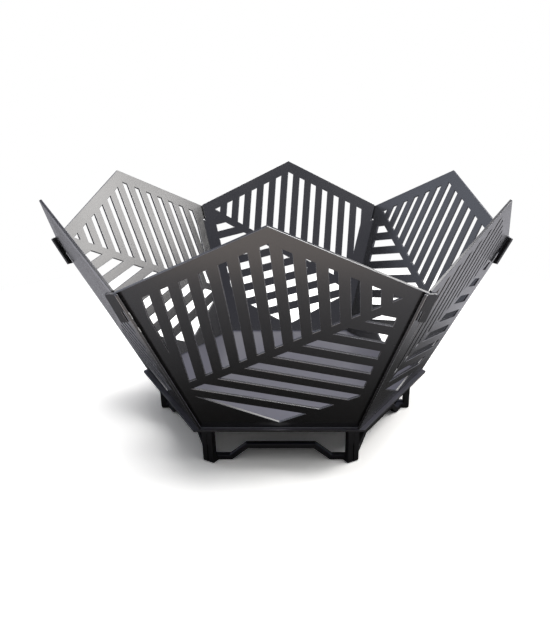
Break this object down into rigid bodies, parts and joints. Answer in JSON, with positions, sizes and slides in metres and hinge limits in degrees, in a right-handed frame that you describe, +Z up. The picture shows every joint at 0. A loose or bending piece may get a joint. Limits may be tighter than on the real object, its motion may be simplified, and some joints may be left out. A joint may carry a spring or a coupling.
{
  "type": "fire pit",
  "caption": "Hexagonal slotted sheet-steel fire pit: leaning panels hooked into a ring on a flat base plate with low bar legs.",
  "frame": {"origin": "on the ground, under the middle of the base plate", "axes": "+Z up, +X towards one corner of the plate, -Y towards the front panel"},
  "size_m": [0.6236, 0.5994, 0.3281],
  "materials": {
    "panel_steel": "satin graphite heat-resistant coating",
    "plate_steel": "satin graphite heat-resistant coating",
    "leg_steel": "satin dark graphite coating"
  },
  "bodies": {
    "base": {"base_plate": "plate_steel", "leg_frame_front": "leg_steel", "leg_frame_right_front": "leg_steel", "leg_frame_right_back": "leg_steel", "leg_frame_back": "leg_steel", "leg_frame_left_back": "leg_steel", "leg_frame_left_front": "leg_steel"},
    "ring": {"panel_front": "panel_steel", "panel_right_front": "panel_steel", "panel_right_back": "panel_steel", "panel_back": "panel_steel", "panel_left_back": "panel_steel", "panel_left_front": "panel_steel"}
  },
  "joints": [
    {"name": "ring_lift", "type": "slide", "parent": "base", "child": "ring", "axis": [0, 0, 1], "range_m": [0, 0.3]}
  ]
}
